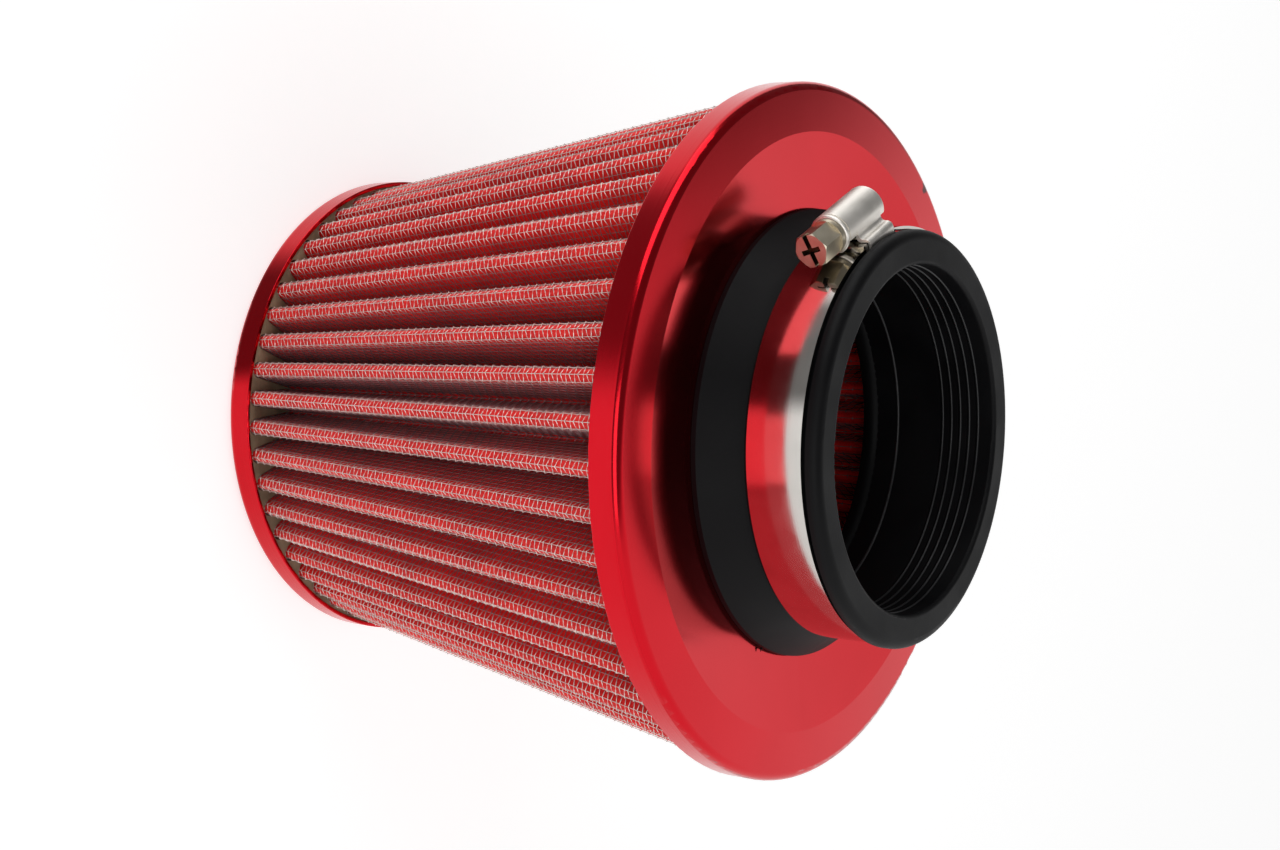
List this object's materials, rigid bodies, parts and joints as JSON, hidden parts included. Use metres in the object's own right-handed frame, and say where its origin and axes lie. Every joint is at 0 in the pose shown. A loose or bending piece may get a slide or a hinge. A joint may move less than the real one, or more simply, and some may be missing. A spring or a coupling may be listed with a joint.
{
  "type": "cone air filter",
  "caption": "Cone-shaped pleated air filter with red metal end caps, wire-covered pleats and a round rubber neck that a worm-drive clamp holds on an intake pipe.",
  "frame": {"origin": "middle of the rear cap's flat outer face, on which the filter stands", "axes": "+Z along the cone's axis, up from the closed narrow end to the neck's mouth; the pleat that sits on -Y is the first one, and the clamp's screw is on the -X -Y side"},
  "size_m": [0.1554, 0.1554, 0.1527],
  "materials": {
    "red_anodised": "satin red anodised",
    "potting": "cast, dull",
    "medium": "oiled cotton gauze",
    "wire": "bright woven wire",
    "rubber": "moulded, matt black",
    "stainless": "polished stainless strip",
    "nickel_plate": "warm bright nickel plate"
  },
  "bodies": {
    "filter": {"rear_cap": "red_anodised", "rear_potting": "potting", "filter_medium": "medium", "outer_wire_mesh": "wire", "inner_wire_mesh": "wire", "front_potting": "potting", "front_cap": "red_anodised", "rubber_neck": "rubber", "clamp_band": "stainless", "clamp_housing": "stainless"},
    "screw": {"clamp_screw": "nickel_plate"}
  },
  "joints": [
    {"name": "screw_turn", "type": "hinge", "parent": "filter", "child": "screw", "pos_m": [-0.04354, -0.0235, 0.1422], "axis": [0.4772, -0.8788, 0], "continuous": true}
  ]
}
